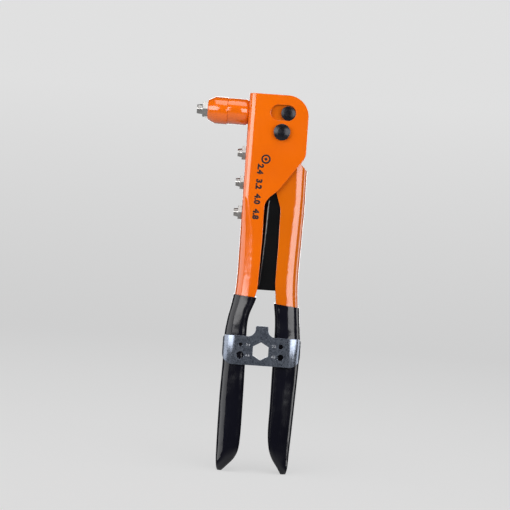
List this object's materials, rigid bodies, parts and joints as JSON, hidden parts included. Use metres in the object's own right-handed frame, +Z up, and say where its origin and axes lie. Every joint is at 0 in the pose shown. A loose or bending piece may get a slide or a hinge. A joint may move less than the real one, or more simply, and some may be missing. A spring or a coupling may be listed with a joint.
{
  "type": "hand riveter",
  "caption": "Two-handed plier-type blind riveter with folded orange body, dipped grips, spare nosepieces and a clip-on wrench.",
  "frame": {"origin": "centre of the nosepiece's mouth, on the pull axis", "axes": "-X out of the nosepiece along the pull axis, +Z up along the handles towards the head, -Y towards the cheek that carries the pin heads and the wrench"},
  "size_m": [0.0791, 0.0267, 0.2489],
  "materials": {
    "orange_paint": "gloss enamel",
    "black_paint": "gloss enamel",
    "bright_steel": "bright nickel plate",
    "black_oxide": "oiled black oxide",
    "machined_steel": "turned",
    "hard_steel": "hardened, dark",
    "spring_steel": "bright drawn",
    "grip_dip": "gloss vinyl dip",
    "zinc_sheet": "zinc-plated, satin"
  },
  "bodies": {
    "frame_body": {"frame": "orange_paint", "barrel": "orange_paint", "barrel_collar": "orange_paint", "nosepiece": "bright_steel", "spare_nosepiece_1": "bright_steel", "spare_nosepiece_2": "bright_steel", "spare_nosepiece_3": "bright_steel", "pivot_pin": "black_oxide", "pivot_ring": "black_oxide", "frame_grip": "grip_dip"},
    "handle_body": {"moving_handle": "orange_paint", "inner_lever": "black_paint", "pivot_bush": "machined_steel", "link_pin": "black_oxide", "link_collar": "black_oxide", "handle_grip": "grip_dip"},
    "pull_body": {"pull_rod": "machined_steel", "jaw_case": "machined_steel", "case_locknut": "machined_steel", "pusher_spring": "spring_steel"},
    "pusher_body": {"jaw_pusher": "machined_steel"},
    "jaw_1_body": {"jaw_1": "hard_steel"},
    "jaw_2_body": {"jaw_2": "hard_steel"},
    "jaw_3_body": {"jaw_3": "hard_steel"},
    "wrench_body": {"wrench": "zinc_sheet"}
  },
  "joints": [
    {"name": "handle_swing", "type": "hinge", "parent": "frame_body", "child": "handle_body", "pos_m": [0.057, 0, -0.0125], "axis": [0, -1, 0], "range_deg": [0, 29.35]},
    {"name": "pull_slide", "type": "slide", "parent": "frame_body", "child": "pull_body", "axis": [-1, 0, 0], "range_m": [0, 0.0066]},
    {"name": "jaw_1_slide", "type": "slide", "parent": "pull_body", "child": "jaw_1_body", "axis": [0.9781, 0, 0.2079], "range_m": [0, 0.0012]},
    {"name": "jaw_2_slide", "type": "slide", "parent": "pull_body", "child": "jaw_2_body", "axis": [0.9781, -0.1801, -0.104], "range_m": [0, 0.0012]},
    {"name": "jaw_3_slide", "type": "slide", "parent": "pull_body", "child": "jaw_3_body", "axis": [0.9781, 0.1801, -0.104], "range_m": [0, 0.0012]},
    {"name": "pusher_slide", "type": "slide", "parent": "pull_body", "child": "pusher_body", "axis": [1, 0, 0], "range_m": [0, 0.00118], "deforming": ["pusher_spring"]},
    {"name": "wrench_off", "type": "slide", "parent": "frame_body", "child": "wrench_body", "axis": [0.5145, -0.8575, 0], "range_m": [0, 0.06997]}
  ],
  "couplings": [
    {"joint": "pull_slide", "follows": "handle_swing", "m_per_rad": 0.012883},
    {"joint": "jaw_1_slide", "follows": "handle_swing", "m_per_rad": 0.0023424},
    {"joint": "jaw_2_slide", "follows": "handle_swing", "m_per_rad": 0.0023424},
    {"joint": "jaw_3_slide", "follows": "handle_swing", "m_per_rad": 0.0023424},
    {"joint": "pusher_slide", "follows": "handle_swing", "m_per_rad": 0.0022912},
    {"joint": "wrench_off", "follows": "handle_swing", "m_per_rad": 0.13658}
  ]
}
